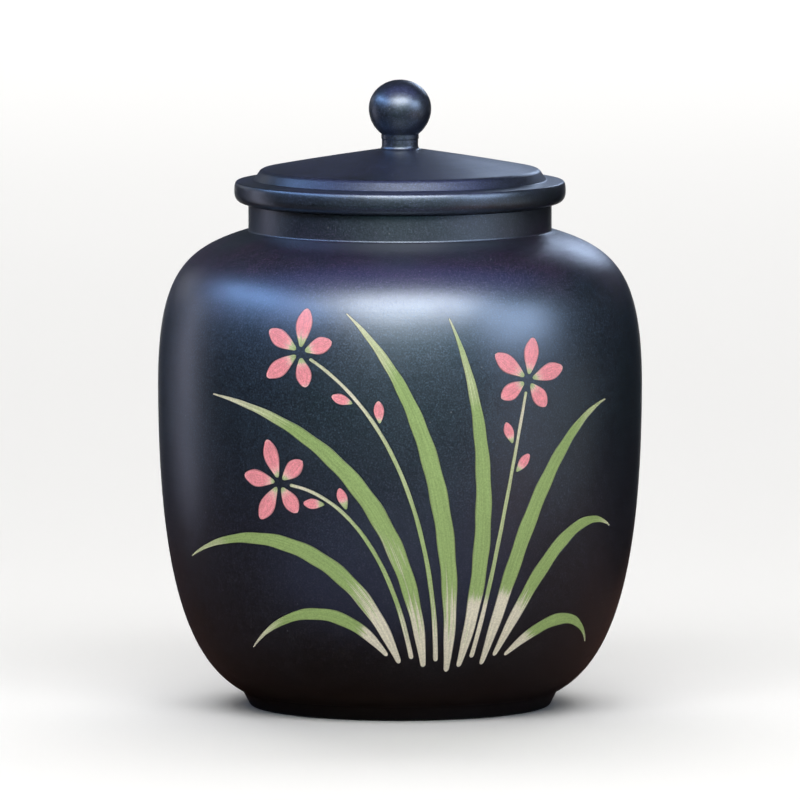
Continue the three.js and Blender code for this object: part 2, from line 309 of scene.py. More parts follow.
hollow_top, tip_inside = (hollow, RIM), (hollow, tip)
tip_outside, lead_top = (PLUG - PLUG_LEAD, tip), (PLUG, tip + PLUG_LEAD)
plug_top, bead_foot = (PLUG, RIM), (BEAD, BEAD_FOOT)
under_edge, over_edge = (FLANGE, RIM), (FLANGE, FLANGE_TOP)
lid_section = [
    (0, SEAT_HEIGHT - LID_WALL),
    *reversed(ceiling),
    *eased(ceiling[0], hollow_top, tip_inside, HOLLOW_EASE),
    *eased(hollow_top, tip_inside, tip_outside, TIP_EASE),
    *eased(tip_inside, tip_outside, lead_top, LEAD_EASE),
    *eased(tip_outside, lead_top, plug_top, LEAD_EASE),
    *eased((PLUG, tip), plug_top, under_edge, PLUG_EASE),
    *eased(plug_top, under_edge, over_edge, FLANGE_UNDER_EASE, FLANGE_UNDER_STEPS),
    *eased(under_edge, over_edge, bead_foot, FLANGE_OVER_EASE, FLANGE_OVER_STEPS, LEDGE_EASE),
    *eased(over_edge, bead_foot, DOME_FOOT, BEAD_EASE),
    *eased(bead_foot, DOME_FOOT, dome[1], DOME_EASE, DOME_EASE_STEPS),
    *dome[1:],
    (0, SEAT_HEIGHT),
]
lid = throw("lid_turned", lid_section, LID_TURNS)

# %% [markdown]
# ## The knob
# The knob was turned by itself and luted on the dome: a short stem that flares to its seat, a
# thin collar and a ball, a little flatter above than below. A sphere would be quicker to add, but
# the stem would then meet it in a hard line, so the knob is a section like the others.

# %% Throw the knob
KNOB_TURNS = 120
BALL = knob_high.x
STEM = 0.0075
FLARE = 0.0018
FLARE_STEPS = 8
COLLAR = 0.00775
COLLAR_HEIGHT = 0.0024
COLLAR_EASE = 0.0005
COLLAR_DRAW = 0.0003
COLLAR_STEPS = 5
BALL_START = SEAT_HEIGHT + 0.0064
CROWN = 0.0118
CROWN_STEPS = 20
UNDER = 0.0132
UNDER_STEPS = 22

lowest = math.asin(COLLAR / BALL)
equator = knob_high.z - CROWN
collar_foot = BALL_START - COLLAR_HEIGHT


def ball_arc(first, last, height, steps):
    """Points of the ball between two angles from its lower or upper pole."""
    angles = np.linspace(first, last, steps + 1)
    return [(BALL * math.sin(a), equator + height * math.cos(a)) for a in angles]


flare = [(SEAT, SEAT_HEIGHT), (STEM, SEAT_HEIGHT), (STEM, SEAT_HEIGHT + FLARE)]
collar = [
    (STEM, collar_foot),
    (STEM, collar_foot + COLLAR_DRAW),
    (COLLAR, collar_foot + COLLAR_EASE),
]
knob_section = [
    (0, SEAT_HEIGHT),
    *curve(flare, FLARE_STEPS),
    *curve(collar, COLLAR_STEPS),
    (COLLAR, BALL_START - COLLAR_EASE),
    *ball_arc(lowest, math.pi / 2, -UNDER, UNDER_STEPS),
    *ball_arc(math.pi / 2, 0, CROWN, CROWN_STEPS)[1:],
]
knob = throw("knob_turned", knob_section, KNOB_TURNS)

# %% [markdown]
# ## The spray
# The inlay is a spray of long leaves, stems, blossoms and buds. Each stroke has a spine on the
# unrolled wall, in metres across from the front's middle line (measured round the widest ring)
# and up from the crease, and a width that swells or tapers along it. The same places cut the
# pockets in the frame, so a stroke made here lies where its node is. A flat grid could be bent
# with a Shrinkwrap, but laying its points along the spine gives it an even width and a map that
# runs from root to tip, which the colours follow.

# %% Places on the unrolled wall
def drawn_in(up):
    """Radius of the wall at a height, as a share of its widest ring."""
    return wall_at(up)[0] / WIDEST[0]


def on_wall(across, up):
    """The point of space at a place on the unrolled wall."""
    radius, height = wall_at(up)
    turn = across / WIDEST[0]
    return Vector((radius * math.sin(turn), -radius * math.cos(turn), height))


def shifted(place, across, up):
    """A place moved by metres across and up, measured where it lies."""
    return Vector((place[0] + across / drawn_in(place[1]), place[1] + up))


print("wall drawn in at the crease to", round(drawn_in(0), 3), "of its widest ring")

# %% Strokes and their widths
LENGTH_STEPS = 60
NUDGE = 0.001
STEM_TAPER = 0.4


class Stroke:
    """A stroke of coloured clay: its name, clay, spine and width along the spine."""

    def __init__(self, name, clay, controls, width):
        self.name = name
        self.clay = clay
        self.controls = [Vector(c) for c in controls]
        self.width = width
        places = [self.place(i / LENGTH_STEPS) for i in range(LENGTH_STEPS + 1)]
        self.length = sum((b - a).length for a, b in zip(places, places[1:]))

    def place(self, share):
        points = list(self.controls)
        while len(points) > 1:
            points = [a.lerp(b, share) for a, b in zip(points, points[1:])]
        return points[0]

    def way(self, share):
        ahead = self.place(min(1, share + NUDGE)) - self.place(max(0, share - NUDGE))
        return Vector((ahead.x * drawn_in(self.place(share).y), ahead.y)).normalized()


def swelling(most, start, end, skew):
    """A width that follows part of a half wave, fuller towards the root where skew is under 1."""
    return lambda share: most * math.sin(math.pi * (start + (end - start) * share) ** skew)


def leaf_width(most):
    return swelling(most, start=0.03, end=0.97, skew=0.7)


def petal_width(most):
    return swelling(most, start=0.1, end=0.94, skew=1.25)


def stem_width(most):
    return lambda share: most * (1 - STEM_TAPER * share)


print("a leaf's widths:", [round(leaf_width(1)(i / 4), 2) for i in range(5)])

# %% Leaves and stems
CLUMP = Vector((0.023, 0.031))
ROOT_SPACING = 0.005
ROOT_SAG = 0.007
# kind, rise of the root, bend and end of the spine, greatest width
SPRAY = [
    ("leaf", 0.0010, (-0.033, 0.068), (-0.077, 0.033), 0.0055),
    ("leaf", 0.0000, (-0.030, 0.105), (-0.110, 0.070), 0.0070),
    ("stem", 0.0040, (-0.009, 0.099), (-0.047, 0.104), 0.0020),
    ("leaf", 0.0015, (-0.002, 0.131), (-0.087, 0.139), 0.0075),
    ("stem", 0.0050, (0.010, 0.129), (-0.038, 0.156), 0.0020),
    ("leaf", 0.0000, (0.023, 0.136), (-0.023, 0.175), 0.0075),
    ("leaf", 0.0020, (0.045, 0.114), (0.021, 0.173), 0.0070),
    ("stem", 0.0055, (0.045, 0.099), (0.054, 0.142), 0.0020),
    ("leaf", 0.0005, (0.058, 0.127), (0.100, 0.136), 0.0070),
    ("leaf", 0.0025, (0.073, 0.101), (0.108, 0.083), 0.0065),
    ("leaf", 0.0000, (0.082, 0.059), (0.108, 0.033), 0.0055),
]
strokes = []
stems = []
for place, (kind, rise, bend, end, most) in enumerate(SPRAY):
    from_middle = 2 * place / (len(SPRAY) - 1) - 1
    across = from_middle * ROOT_SPACING * (len(SPRAY) - 1) / 2
    root = shifted(CLUMP, across, rise + ROOT_SAG * (from_middle**2 - 1))
    number = 1 + sum(stroke.clay == kind for stroke in strokes)
    width = leaf_width(most) if kind == "leaf" else stem_width(most)
    strokes.append(Stroke(f"{kind}_{number}", kind, [root, bend, end], width))
    if kind == "stem":
        stems.append(strokes[-1])
print("drawn:", [stroke.name for stroke in strokes])

# %% Blossoms and buds
BLOSSOM_GAP = 0.005
PETAL_GAP = 0.0023
PETAL_WIDTH = 0.007
# turn in degrees from the stem's way, length
PETALS = [(0, 0.015), (65, 0.016), (131, 0.012), (-131, 0.012), (-65, 0.016)]
BUD_GAP = 0.0014
BUD_TURN = 30
BUD_LENGTH = 0.009
BUD_WIDTH = 0.0044
# share of the stem's length, side of the stem
BUDS = [(0.66, 1), (0.77, -1)]


def petal(name, start, way, turn, gap, length, width):
    """A straight stroke that leaves a place at a turn, clockwise in degrees, from a given way."""
    angle = math.radians(turn)
    course = Vector((
        way.x * math.cos(angle) + way.y * math.sin(angle),
        way.y * math.cos(angle) - way.x * math.sin(angle),
    ))
    foot = shifted(start, gap * course.x, gap * course.y)
    end = shifted(foot, length * course.x, length * course.y)
    return Stroke(name, "petal", [foot, end], petal_width(width))


for number, stem in enumerate(stems, 1):
    way = stem.way(1)
    middle = shifted(stem.place(1), BLOSSOM_GAP * way.x, BLOSSOM_GAP * way.y)
    for place, (turn, length) in enumerate(PETALS, 1):
        name = f"petal_{number}_{place}"
        strokes.append(petal(name, middle, way, turn, PETAL_GAP, length, PETAL_WIDTH))
    for place, (share, side) in enumerate(BUDS, 1):
        way = stem.way(share)
        off = side * (stem.width(share) / 2 + BUD_GAP)
        foot = shifted(stem.place(share), way.y * off, -way.x * off)
        name = f"bud_{number}_{place}"
        strokes.append(petal(name, foot, way, side * BUD_TURN, 0, BUD_LENGTH, BUD_WIDTH))
print("strokes in all:", len(strokes))

# %% Lay a stroke on the wall
ACROSS = 8
END_STEP = 0.00004
LEAST_HALF = 0.00016
WAVER = 0.05
WAVER_LENGTH = 0.0027
WAVER_SKEW = 5


def add_grid(name, across, along, size=1):
    """Adds a flat grid as the only selected piece."""
    bpy.ops.object.select_all(action="DESELECT")
    bpy.ops.mesh.primitive_grid_add(x_subdivisions=across, y_subdivisions=along, size=size)
    return begin(name)


def lay_sheet(name, stroke, grow):
    """A grid laid along a stroke's spine, with round ends and a hand-cut, wavering edge."""
    rows = round(math.pi / math.acos(1 - 2 * END_STEP / stroke.length))
    sheet = add_grid(name, ACROSS, rows)
    for vertex in sheet.data.vertices:
        share = (1 - math.cos(math.pi * (vertex.co.y + 0.5))) / 2
        way = stroke.way(share)
        end_half = stroke.width(round(share)) / 2
        from_end = stroke.length * min(share, 1 - share)
        fullness = math.sqrt(1 - (1 - min(1, from_end / end_half)) ** 2)
        swing = share * stroke.length / WAVER_LENGTH + WAVER_SKEW * vertex.co.x + stroke.length
        waver = 1 + WAVER * math.sin(swing)
        half = max(LEAST_HALF, fullness * waver * stroke.width(share) / 2) + grow
        stretch = grow * (2 * share - 1) if share in (0, 1) else 0
        middle = shifted(stroke.place(share), way.x * stretch, way.y * stretch)
        side = 2 * vertex.co.x * half
        vertex.co = on_wall(*shifted(middle, way.y * side, -way.x * side))
    return sheet


# %% Thicken the strokes
INLAY_DEPTH = 0.0012
INLAY_EASE = 0.00008
INLAY_CORNER = math.radians(50)
INLAY_SMOOTH = math.radians(40)

inlays = {}
for stroke in strokes:
    inlay = lay_sheet(stroke.name, stroke, 0)
    finish_with(inlay, "SOLIDIFY", thickness=INLAY_DEPTH, offset=-1)
    finish_with(inlay, "BEVEL", width=INLAY_EASE, segments=2, angle_limit=INLAY_CORNER)
    bpy.ops.object.shade_smooth_by_angle(angle=INLAY_SMOOTH)
    inlays[stroke.name] = inlay
print("inlaid:", sum(len(inlay.data.polygons) for inlay in inlays.values()), "faces")

# %% [markdown]
# ## The pockets
# A potter cuts the pockets with a wire loop when the clay is leather hard. Here one Boolean takes
# all the strokes, grown by the width of a hairline joint, out of the wall. Cutting leaves faces
# with many corners, which an export could split into slivers, so the cut jar is split into
# triangles at once. A glossy surface would show the broken faces, so the jar borrows its normals
# from a copy that was kept whole.

# %% Cut the pockets
JOINT = 0.00015

pick(jar)
bpy.ops.object.duplicate()
whole_jar = begin("jar_whole")

cutters = []
for stroke in strokes:
    cutter = lay_sheet("cutter", stroke, JOINT)
    finish_with(cutter, "SOLIDIFY", thickness=2 * (INLAY_DEPTH + JOINT), offset=0)
    cutters.append(cutter)
pick(*cutters)
bpy.ops.object.join()
pockets = begin("pockets")

finish_with(jar, "BOOLEAN", object=pockets, operation="DIFFERENCE", solver="EXACT")
finish_with(jar, "TRIANGULATE", quad_method="SHORTEST_DIAGONAL", ngon_method="BEAUTY")
finish_with(
    jar,
    "DATA_TRANSFER",
    object=whole_jar,
    use_loop_data=True,
    data_types_loops={"CUSTOM_NORMAL"},
    loop_mapping="POLYINTERP_NEAREST",
)
for spare in (pockets, whole_jar):
    bpy.data.objects.remove(spare)
print("jar cut:", len(jar.data.polygons), "faces")

# %% [markdown]
# ## Finishes
# Everything here is fired clay, so the finishes share two effects. One is the clay's own grain:
# fine particles, soft clouds where the kiln coloured it, and a few pale specks of sand. The other
# is the fine lines that turning leaves, which run round the axis on every thrown face. Each could
# be drawn again in every material, but as a node group it is built once and puts out plain masks,
# and each finish mixes them in its own way.

# %% Short ways to add nodes
def add(tree, kind, inputs=None, **settings):
    """Adds a node, sets its properties, and fills its sockets with values or links."""
    made = tree.nodes.new(kind)
    for name, value in settings.items():
        setattr(made, name, value)
    for name, value in (inputs or {}).items():
        fill(tree, made.inputs[name], value)
    return made


def fill(tree, socket, value):
    """Links a socket to another one, or gives it a plain value."""
    if isinstance(value, bpy.types.NodeSocket):
        tree.links.new(value, socket)
    else:
        socket.default_value = value


def maths(tree, operation, *values):
    """A Math node's result."""
    return add(tree, "ShaderNodeMath", dict(enumerate(values)), operation=operation).outputs[0]


def between(tree, value, span, out=(0.0, 1.0)):
    """A value eased from one span to another, held at its ends."""
    inputs = {
        "Value": value,
        "From Min": span[0],
        "From Max": span[1],
        "To Min": out[0],
        "To Max": out[1],
    }
    node = add(tree, "ShaderNodeMapRange", inputs, interpolation_type="SMOOTHSTEP")
    return node.outputs["Result"]


print("ways to add nodes:", [way.__name__ for way in (add, fill, maths, between)])

# %% Colours and groups
def blend(tree, share, first, second, how="MIX"):
    """Two colours mixed by a share."""
    node = add(tree, "ShaderNodeMix", data_type="RGBA", blend_type=how)
    for socket, value in zip((0, 6, 7), (share, first, second)):
        fill(tree, node.inputs[socket], value)
    return node.outputs[2]


def ramp(tree, share, stops):
    """A colour ramp from (place, colour) stops."""
    node = add(tree, "ShaderNodeValToRGB", {"Fac": share})
    elements = node.color_ramp.elements
    while len(elements) < len(stops):
        elements.new(0.5)
    for element, (place, colour) in zip(elements, stops):
        element.position = place
        element.color = (*colour, 1)
    return node.outputs["Color"]


def start_group(name, outputs):
    """A node group that takes coordinates and puts out masks, with its entry and its exit."""
    group = bpy.data.node_groups.new(name, "ShaderNodeTree")
    group.interface.new_socket("Vector", in_out="INPUT", socket_type="NodeSocketVector")
    for label in outputs:
        group.interface.new_socket(label, in_out="OUTPUT", socket_type="NodeSocketFloat")
    entry = group.nodes.new("NodeGroupInput")
    return group, entry.outputs["Vector"], group.nodes.new("NodeGroupOutput")


def group_node(tree, group, place):
    """The outputs of a group placed in a material and fed with coordinates."""
    node = tree.nodes.new("ShaderNodeGroup")
    node.node_tree = group
    tree.links.new(place, node.inputs["Vector"])
    return node.outputs


print("ways to mix and group:", [way.__name__ for way in (blend, ramp, start_group, group_node)])

# %% Grain of the clay
# mask, scale, detail
GRAIN_LAYERS = [("Grain", 1500.0, 3.0), ("Mottle", 240.0, 3.0), ("Cloud", 22.0, 5.0)]
GRAIN_ROUGHNESS = 0.6
SAND_SCALE = 240.0
SAND_EDGE = (0.05, 0.12)
SAND_RARITY = 0.93


def make_clay_grain():
    group, place, leave = start_group("clay_grain", ["Grain", "Mottle", "Cloud", "Speck"])
    for label, scale, detail in GRAIN_LAYERS:
        inputs = {"Vector": place, "Scale": scale, "Detail": detail, "Roughness": GRAIN_ROUGHNESS}
        layer = add(group, "ShaderNodeTexNoise", inputs)
        group.links.new(layer.outputs["Fac"], leave.inputs[label])
    sand = add(group, "ShaderNodeTexVoronoi", {"Vector": place, "Scale": SAND_SCALE})
    chance = add(group, "ShaderNodeSeparateColor", {"Color": sand.outputs["Color"]}).outputs[0]
    near = between(group, sand.outputs["Distance"], SAND_EDGE, (1.0, 0.0))
    rare = maths(group, "GREATER_THAN", chance, SAND_RARITY)
    group.links.new(maths(group, "MULTIPLY", near, rare), leave.inputs["Speck"])
    return group


clay_grain = make_clay_grain()
print("group", clay_grain.name)

# %% Lines of the wheel
# mask, scale, detail
LINE_LAYERS = [("Fine", 1500.0, 3.0), ("Broad", 170.0, 2.0)]
LINE_DRIFT = 0.01


def make_turning_lines():
    group, place, leave = start_group("turning_lines", ["Fine", "Broad"])
    axes = add(group, "ShaderNodeSeparateXYZ", {"Vector": place}).outputs
    across = add(group, "ShaderNodeCombineXYZ", {"X": axes["X"], "Y": axes["Y"]})
    radius = add(group, "ShaderNodeVectorMath", {0: across.outputs[0]}, operation="LENGTH")
    drift = maths(group, "MULTIPLY", axes["X"], LINE_DRIFT)
    turned = {"X": radius.outputs["Value"], "Y": drift, "Z": axes["Z"]}
    section = add(group, "ShaderNodeCombineXYZ", turned).outputs[0]
    for label, scale, detail in LINE_LAYERS:
        inputs = {"Vector": section, "Scale": scale, "Detail": detail}
        lines = add(group, "ShaderNodeTexNoise", inputs)
        group.links.new(lines.outputs["Fac"], leave.inputs[label])
    return group


turning_lines = make_turning_lines()
print("group", turning_lines.name)

# %% [markdown]
# ## Burnished black clay
# The body is nearly black. The violet and blue on the shoulder, the teal on the belly and the
# brown at the foot are painted reflections of the surroundings, laid into its colour by height.
# Rubbing with a stone closes its skin, so it shines without being wet: the gloss is soft, uneven
# in patches, and broken up by the grain. The neck, where the stone reaches badly, is a little less
# polished. The colour could follow a painted map, but here it is read from the height, shifted by
# the clouds, and the masks then move colour, roughness and bump together: dark and light grains,
# brighter flecks and specks.

# %% Start a material
def start_material(name, specular, tint=(1, 1, 1, 1)):
    """A material with its tree, its shader and its object coordinates."""
    material = bpy.data.materials.new(name)
    material.use_nodes = True
    tree = material.node_tree
    shader = tree.nodes["Principled BSDF"]
    shader.inputs["Specular IOR Level"].default_value = specular
    shader.inputs["Specular Tint"].default_value = tint
    place = add(tree, "ShaderNodeTexCoord").outputs["Object"]
    return material, tree, shader, place


def connect(tree, shader, colour, roughness, height, strength, depth):
    """Links colour, roughness and a bump of a given strength and depth to a shader."""
    tree.links.new(colour, shader.inputs["Base Color"])
    tree.links.new(roughness, shader.inputs["Roughness"])
    inputs = {"Height": height, "Strength": strength, "Distance": depth}
    bump = add(tree, "ShaderNodeBump", inputs)
    tree.links.new(bump.outputs["Normal"], shader.inputs["Normal"])


print("a finish starts with", start_material.__name__, "and ends with", connect.__name__)

# %% Black clay outside
SHEEN = (0.80, 0.90, 1.0, 1)
# The clay is nearly black; the violet, blue, teal and brown tints by height are painted reflection.
# share of the whole height, colour
CLAY_AND_REFLECTION_TONES = [
    (0.00, (0.0045, 0.0030, 0.0022)),
    (0.12, (0.0050, 0.0037, 0.0038)),
    (0.33, (0.0056, 0.0054, 0.0098)),
    (0.50, (0.0050, 0.0105, 0.0155)),
    (0.64, (0.0056, 0.0110, 0.0195)),
    (0.73, (0.0130, 0.0055, 0.0160)),
    (0.79, (0.0050, 0.0080, 0.0110)),
    (0.86, (0.0090, 0.0110, 0.0270)),
    (1.00, (0.0065, 0.0090, 0.0170)),
]
CLOUD_WANDER = 0.24
MOTTLE_DEPTH = (0.8, 1.25)
GRAIN_DEPTH = (0.1, 1.9)
FLECK_DEPTH = (0.0, 2.8)
SPECK_SHARE = 0.35
SPECK_TONE = (0.20, 0.21, 0.22, 1)
POLISH = (0.17, 0.23)
GRAIN_POLISH = 0.28
LINE_POLISH = 0.07
NECK_POLISH = 0.05
NECK_START = (NECK_FOOT[1] - 0.0005, NECK_FOOT[1] + 0.0005)
NECK_END = (RIM - 0.0006, RIM + 0.0002)
FINE_BUMP = 0.15
BLACK_BUMP = (0.22, 0.00015)


def black_tone_and_reflection(tree, grain, height):
    """Colour by height with painted reflection tints, shifted by clouds, with grains, flecks,
    specks.
    """
    share = maths(tree, "DIVIDE", height, cad_high.z)
    wander = maths(tree, "MULTIPLY_ADD", grain["Cloud"], CLOUD_WANDER, -CLOUD_WANDER / 2)
    # painted reflection: tints by height on the near-black clay
    tone = ramp(tree, maths(tree, "ADD", share, wander), CLAY_AND_REFLECTION_TONES)
    mottled = between(tree, grain["Mottle"], (0.25, 0.75), MOTTLE_DEPTH)
    depth = between(tree, grain["Grain"], (0.36, 0.64), GRAIN_DEPTH)
    flecks = between(tree, grain["Grain"], (0.56, 0.72), FLECK_DEPTH)
    depth = maths(tree, "MULTIPLY", mottled, maths(tree, "ADD", depth, flecks))
    tone = blend(tree, 1.0, tone, depth, "MULTIPLY")
    return blend(tree, maths(tree, "MULTIPLY", grain["Speck"], SPECK_SHARE), tone, SPECK_TONE)


def black_polish(tree, grain, lines, height):
    """The roughness: patches of polish, the grain, the turning lines and the duller neck."""
    polish = between(tree, grain["Cloud"], (0.3, 0.7), POLISH)
    polish = maths(tree, "MULTIPLY_ADD", grain["Grain"], GRAIN_POLISH, polish)
    polish = maths(tree, "MULTIPLY_ADD", lines["Fine"], LINE_POLISH, polish)
    above_shoulder = between(tree, height, NECK_START)
    below_rim = between(tree, height, NECK_END, (1.0, 0.0))
    on_neck = maths(tree, "MULTIPLY", above_shoulder, below_rim)
    return maths(tree, "MULTIPLY_ADD", on_neck, NECK_POLISH, polish)


def make_black_clay():
    material, tree, shader, place = start_material("burnished_black_clay", 1.0, SHEEN)
    grain = group_node(tree, clay_grain, place)
    lines = group_node(tree, turning_lines, place)
    height = add(tree, "ShaderNodeSeparateXYZ", {"Vector": place}).outputs["Z"]
    tone = black_tone_and_reflection(tree, grain, height)
    polish = black_polish(tree, grain, lines, height)
    bumps = maths(tree, "MULTIPLY_ADD", lines["Fine"], FINE_BUMP, lines["Broad"])
    bumps = maths(tree, "ADD", grain["Grain"], bumps)
    connect(tree, shader, tone, polish, bumps, *BLACK_BUMP)
    return material


black_clay = make_black_clay()
print("finish", black_clay.name, "with", len(black_clay.node_tree.nodes), "nodes")

# %% [markdown]
# ## Raw clay
# Nobody burnishes the inside of a jar, the underside of its lid or the ring that it stands on.
# There the clay stays as the wheel left it: browner, dull, with deeper turning lines and more
# sand to see. It could be the black finish with a higher roughness, but its tones differ too, so
# it is a material of its own from the same two groups.

# %% Raw clay inside and under the foot
RAW_DARK = (0.020, 0.014, 0.011, 1)
RAW_PALE = (0.030, 0.026, 0.025, 1)
RAW_DEPTH = (0.6, 1.4)
RAW_SPECK_SHARE = 0.8
RAW_SPECK = (0.14, 0.12, 0.10, 1)
RAW_ROUGHNESS = (0.62, 0.82)
RAW_LINES = 3.0
RAW_BUMP = (0.5, 0.00008)


def make_raw_clay():
    material, tree, shader, place = start_material("raw_black_clay", 0.3)
    grain = group_node(tree, clay_grain, place)
    lines = group_node(tree, turning_lines, place)
    tone = blend(tree, grain["Cloud"], RAW_DARK, RAW_PALE)
    depth = between(tree, grain["Grain"], (0.25, 0.75), RAW_DEPTH)
    tone = blend(tree, 1.0, tone, depth, "MULTIPLY")
    tone = blend(tree, maths(tree, "MULTIPLY", grain["Speck"], RAW_SPECK_SHARE), tone, RAW_SPECK)
    roughness = between(tree, grain["Grain"], (0.2, 0.8), RAW_ROUGHNESS)
    bumps = maths(tree, "MULTIPLY_ADD", lines["Broad"], RAW_LINES, grain["Grain"])
    connect(tree, shader, tone, roughness, bumps, *RAW_BUMP)
    return material


raw_clay = make_raw_clay()
print("finish", raw_clay.name, "with", len(raw_clay.node_tree.nodes), "nodes")

# %% [markdown]
# ## Coloured clays
# The inlay clays are pale clays stained green and pink. A stroke is filled with more than one of
# them while wet, so the colours run into each other in ragged streaks along the stroke. Flat
# colours would look printed. The stroke's own map gives the way from root to tip and from side to
# side, and a noise stretched along the stroke makes the ragged edge. Black dust from the
# burnishing stays in the joint, so each stroke darkens at its very edge.

# %% A coloured clay
STREAK_SCALE = (14.0, 5.0, 1.0)
STREAK_SPREAD = (40.0, 40.0, 40.0)
STREAK_DETAIL = 5.0
SLOW_SCALE = 28.0
SLOW_SHIFT = 0.5
STREAK_DEPTH = (0.88, 1.1)
INLAY_GRAIN = (0.88, 1.12)
DUST_EDGE = (0.42, 0.5)
DUST_SHARE = (0.0, 0.5)
DUST = (0.10, 0.075, 0.055, 1)
INLAY_ROUGHNESS = (0.38, 0.54)
INLAY_BUMP = (0.3, 0.00008)


def dry_streaks(tree, chart, place):
    """A noise stretched along a stroke, different on each stroke."""
    stretched = add(tree, "ShaderNodeMapping", {"Vector": chart, "Scale": STREAK_SCALE}).outputs[0]
    local = add(tree, "ShaderNodeVectorMath", {0: place, 1: STREAK_SPREAD}, operation="MULTIPLY")
    inputs = {0: stretched, 1: local.outputs[0]}
    spread = add(tree, "ShaderNodeVectorMath", inputs, operation="ADD").outputs[0]
    inputs = {"Vector": spread, "Scale": 1.0, "Detail": STREAK_DETAIL}
    return add(tree, "ShaderNodeTexNoise", inputs).outputs["Fac"]


def make_inlay_clay(name, stops, ragged):
    """A clay whose colours run from root to tip and meet in ragged, dry strokes."""
    material, tree, shader, place = start_material(name, 0.45)
    grain = group_node(tree, clay_grain, place)
    chart = add(tree, "ShaderNodeTexCoord").outputs["UV"]
    sides = add(tree, "ShaderNodeSeparateXYZ", {"Vector": chart}).outputs
    brushed = dry_streaks(tree, chart, place)
    inputs = {"Vector": place, "Scale": SLOW_SCALE, "Detail": 1.0}
    slow = add(tree, "ShaderNodeTexNoise", inputs).outputs["Fac"]
    shift = maths(tree, "MULTIPLY_ADD", brushed, ragged, -ragged / 2)
    shift = maths(tree, "MULTIPLY_ADD", maths(tree, "SUBTRACT", slow, 0.5), SLOW_SHIFT, shift)
    colour = ramp(tree, maths(tree, "ADD", sides["Y"], shift), stops)
    lit = between(tree, brushed, (0.3, 0.7), STREAK_DEPTH)
    depth = between(tree, grain["Grain"], (0.3, 0.7), INLAY_GRAIN)
    colour = blend(tree, 1.0, colour, maths(tree, "MULTIPLY", lit, depth), "MULTIPLY")
    from_middle = maths(tree, "ABSOLUTE", maths(tree, "SUBTRACT", sides["X"], 0.5))
    colour = blend(tree, between(tree, from_middle, DUST_EDGE, DUST_SHARE), colour, DUST)
    roughness = between(tree, grain["Grain"], (0.2, 0.8), INLAY_ROUGHNESS)
    connect(tree, shader, colour, roughness, grain["Grain"], *INLAY_BUMP)
    return material


# %% The three clays
CREAM = (0.74, 0.69, 0.54)
PALE_GREEN = (0.50, 0.56, 0.30)
GREEN = (0.29, 0.42, 0.13)
PINK = (0.86, 0.29, 0.33)
PALE_PINK = (0.87, 0.46, 0.45)
# from root to tip: share of the length, colour
LEAF_TONES = [
    (0.0, CREAM),
    (0.26, CREAM),
    (0.31, GREEN),
    (0.70, GREEN),
    (0.80, PALE_GREEN),
    (1.0, CREAM),
]
STEM_TONES = [
    (0.0, CREAM),
    (0.24, CREAM),
    (0.32, GREEN),
    (0.56, PALE_GREEN),
    (0.8, CREAM),
    (1.0, PALE_GREEN),
]
PETAL_TONES = [
    (0.0, GREEN),
    (0.27, PALE_GREEN),
    (0.33, PALE_PINK),
    (0.45, PINK),
    (0.85, PINK),
    (1.0, PALE_PINK),
]
inlay_clays = {
    "leaf": make_inlay_clay("leaf_clay", LEAF_TONES, ragged=0.26),
    "stem": make_inlay_clay("stem_clay", STEM_TONES, ragged=0.4),
    "petal": make_inlay_clay("petal_clay", PETAL_TONES, ragged=0.34),
}
print("finishes", [clay.name for clay in inlay_clays.values()])

# %% [markdown]
# ## Dressing the pieces
# The burnished finish goes on the outside, and the raw one where the stone never came. A mask in
# one material could part them, but their border lies along edges of the mesh, so the raw faces
# are picked by place and normal and given the second material. Each piece then rides on its body
# and stands for its node of the frame.

# %% Materials on the thrown pieces
EDGE_BAND = 0.001
BORE_SLACK = 0.0002
GROUND_SLACK = 0.0001
LEVEL_NORMAL = 0.5


def dress(piece, is_raw):
    """Burnished clay all over, and raw clay on the faces that a test of middle and normal picks."""
    piece.data.materials.clear()
    piece.data.materials.append(black_clay)
    piece.data.materials.append(raw_clay)
    picked = 0
    for face in piece.data.polygons:
        face.material_index = int(is_raw(face.center, face.normal))
        picked += face.material_index
    print(piece.name, "raw faces:", picked)


def wall_middle(height):
    """Radius halfway between the wall's inner and outer face at a height."""
    return np.interp(height, wall_points[:, 1], wall_points[:, 0]) - WALL / 2


def raw_in_jar(middle, normal):
    around = math.hypot(middle.x, middle.y)
    facing_in = normal.x * middle.x + normal.y * middle.y < 0
    in_bore = around < bore + BORE_SLACK and RECESS + EDGE_BAND < middle.z < RIM - EDGE_BAND
    in_belly = facing_in and bore < around < wall_middle(middle.z)
    in_recess = around < RING and middle.z < RECESS + EDGE_BAND
    return in_bore or in_belly or in_recess or middle.z < GROUND_SLACK


def raw_in_lid(middle, normal):
    in_hollow = math.hypot(middle.x, middle.y) < hollow + EDGE_BAND
    return in_hollow and middle.z < SEAT_HEIGHT - LID_WALL / 2 and normal.z < LEVEL_NORMAL


dress(jar, raw_in_jar)
dress(lid, raw_in_lid)
knob.data.materials.append(black_clay)

# %% Bodies, nodes and slots
for piece, body, node in ((jar, "jar", "jar_body"), (lid, "lid", "lid"), (knob, "lid", "lid_knob")):
    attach(piece, body)
    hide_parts(node)
for stroke in strokes:
    inlay = inlays[stroke.name]
    inlay.data.materials.append(inlay_clays[stroke.clay])
    kind, _, numbers = stroke.name.partition("_")
    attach(inlay, "jar")
    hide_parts(f"{kind}_inlay_{numbers}")

# %% [markdown]
# ## Studio
# A pale floor and three soft boxes, one in front, one overhead and one behind, light the clay. A
# burnished dark pot lives by its reflections, so the other lamps are there for the gloss alone,
# as a photographer sets them for shiny ware. Bright boxes in front draw the band along the
# shoulder, with bluer ones towards its ends, a teal one lower down is seen in the belly, and a
# deep blue one overhead in the lid and the shoulder. Cards beside and behind the jar draw its
# edges. One big lamp for all of it would be simpler, but then the gloss couldn't be set without
# changing the light on the clay.

